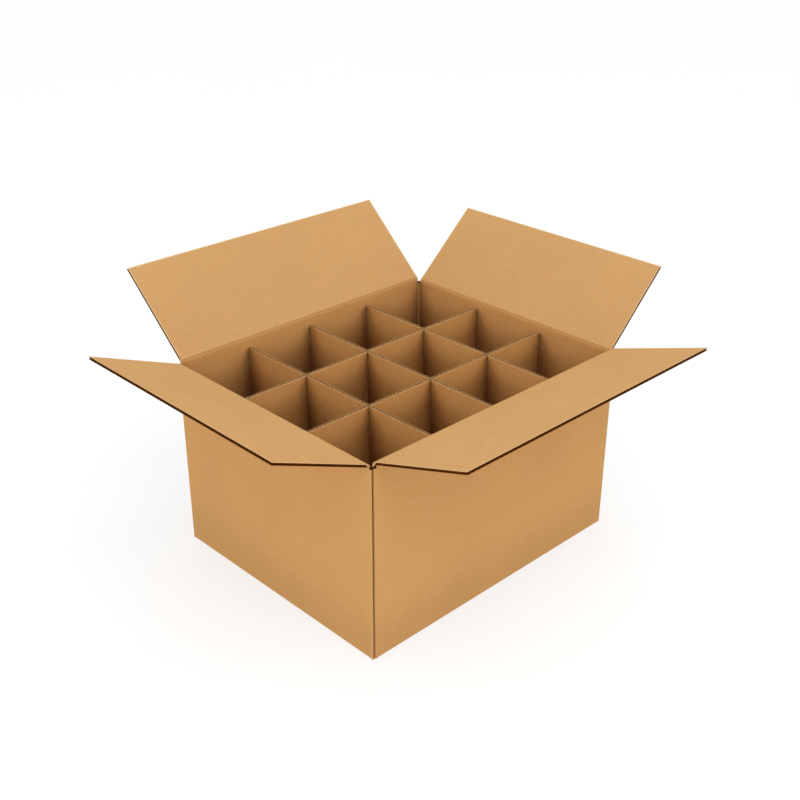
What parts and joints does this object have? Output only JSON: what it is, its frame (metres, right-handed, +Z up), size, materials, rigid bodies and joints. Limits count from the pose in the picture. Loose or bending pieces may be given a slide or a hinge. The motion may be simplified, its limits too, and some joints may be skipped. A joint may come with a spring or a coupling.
{
  "type": "bottle shipping box",
  "caption": "Open corrugated slotted shipping case with four hinged top flaps and an interlocking divider grid that keeps standing bottles apart.",
  "frame": {"origin": "on the floor under the middle of the open box's bounding box, flaps included; the case's own middle stands at X 10.94 mm, Y 13.32 mm from it", "axes": "+X along the long walls towards the far short wall, +Y along the short walls towards the far long wall, +Z up"},
  "size_m": [0.5994, 0.5502, 0.3299],
  "materials": {
    "kraft_case": "matte",
    "kraft_flap": "matte",
    "kraft_divider": "matte"
  },
  "bodies": {
    "case": {"box_body": "kraft_case", "long_divider_1": "kraft_divider", "long_divider_2": "kraft_divider", "short_divider_1": "kraft_divider", "short_divider_2": "kraft_divider", "short_divider_3": "kraft_divider"},
    "long_flap_near": {"long_flap_near": "kraft_flap"},
    "short_flap_far": {"short_flap_far": "kraft_flap"},
    "long_flap_far": {"long_flap_far": "kraft_flap"},
    "short_flap_near": {"short_flap_near": "kraft_flap"}
  },
  "joints": [
    {"name": "long_flap_near_crease", "type": "hinge", "parent": "case", "child": "long_flap_near", "pos_m": [0.01094, -0.15198, 0.2408], "axis": [1, 0, 0], "range_deg": [-161.5, 108.5]},
    {"name": "short_flap_far_crease", "type": "hinge", "parent": "case", "child": "short_flap_far", "pos_m": [0.20849, 0.01332, 0.2375], "axis": [0, 1, 0], "range_deg": [-138.4, 131.6]},
    {"name": "long_flap_far_crease", "type": "hinge", "parent": "case", "child": "long_flap_far", "pos_m": [0.01094, 0.17862, 0.2408], "axis": [-1, 0, 0], "range_deg": [-138, 132]},
    {"name": "short_flap_near_crease", "type": "hinge", "parent": "case", "child": "short_flap_near", "pos_m": [-0.18661, 0.01332, 0.2375], "axis": [0, -1, 0], "range_deg": [-158, 112]}
  ]
}
